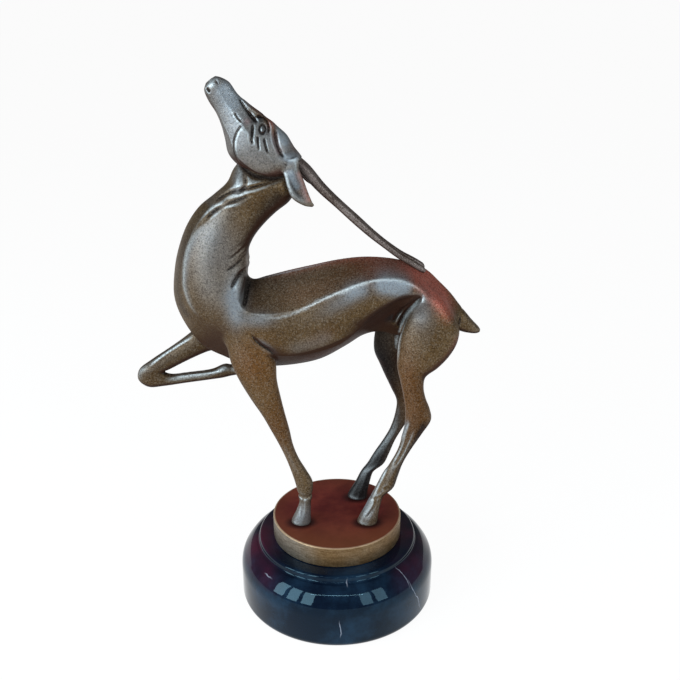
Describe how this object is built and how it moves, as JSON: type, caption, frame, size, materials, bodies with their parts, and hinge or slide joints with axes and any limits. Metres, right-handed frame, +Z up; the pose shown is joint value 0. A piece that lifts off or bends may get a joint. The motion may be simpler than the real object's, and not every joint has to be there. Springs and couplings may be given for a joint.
{
  "type": "animal statuette",
  "caption": "Bronze antelope with its head thrown back and one foreleg raised, standing on a round bronze plinth bolted to a stepped black marble base.",
  "frame": {"origin": "centre of the underside of the felt, the face that the statuette stands on", "axes": "+Z up through the base, -X the way the animal faces, -Y towards its left side"},
  "size_m": [0.1784, 0.1064, 0.2819],
  "materials": {
    "bronze": "brown patina, satin",
    "plinth_bronze": "brown patina, satin",
    "dowel_bronze": "as drawn",
    "black_marble": "polished",
    "felt": "matt",
    "steel": "zinc plated"
  },
  "bodies": {
    "root": {"torso": "bronze", "neck": "bronze", "head": "bronze", "left_horn": "bronze", "right_horn": "bronze", "left_ear": "bronze", "right_ear": "bronze", "tail": "bronze", "left_hindleg": "bronze", "right_hindleg": "bronze", "standing_foreleg": "bronze", "raised_foreleg": "bronze", "plinth": "plinth_bronze", "neck_dowel": "dowel_bronze", "head_dowel": "dowel_bronze", "shoulder_dowel": "dowel_bronze", "hip_dowel": "dowel_bronze", "marble_base": "black_marble", "felt_pad": "felt", "base_stud": "steel", "flat_washer": "steel", "spring_washer": "steel", "hex_nut": "steel", "left_hindleg_screw": "steel", "right_hindleg_screw": "steel", "standing_foreleg_screw": "steel"}
  },
  "joints": []
}
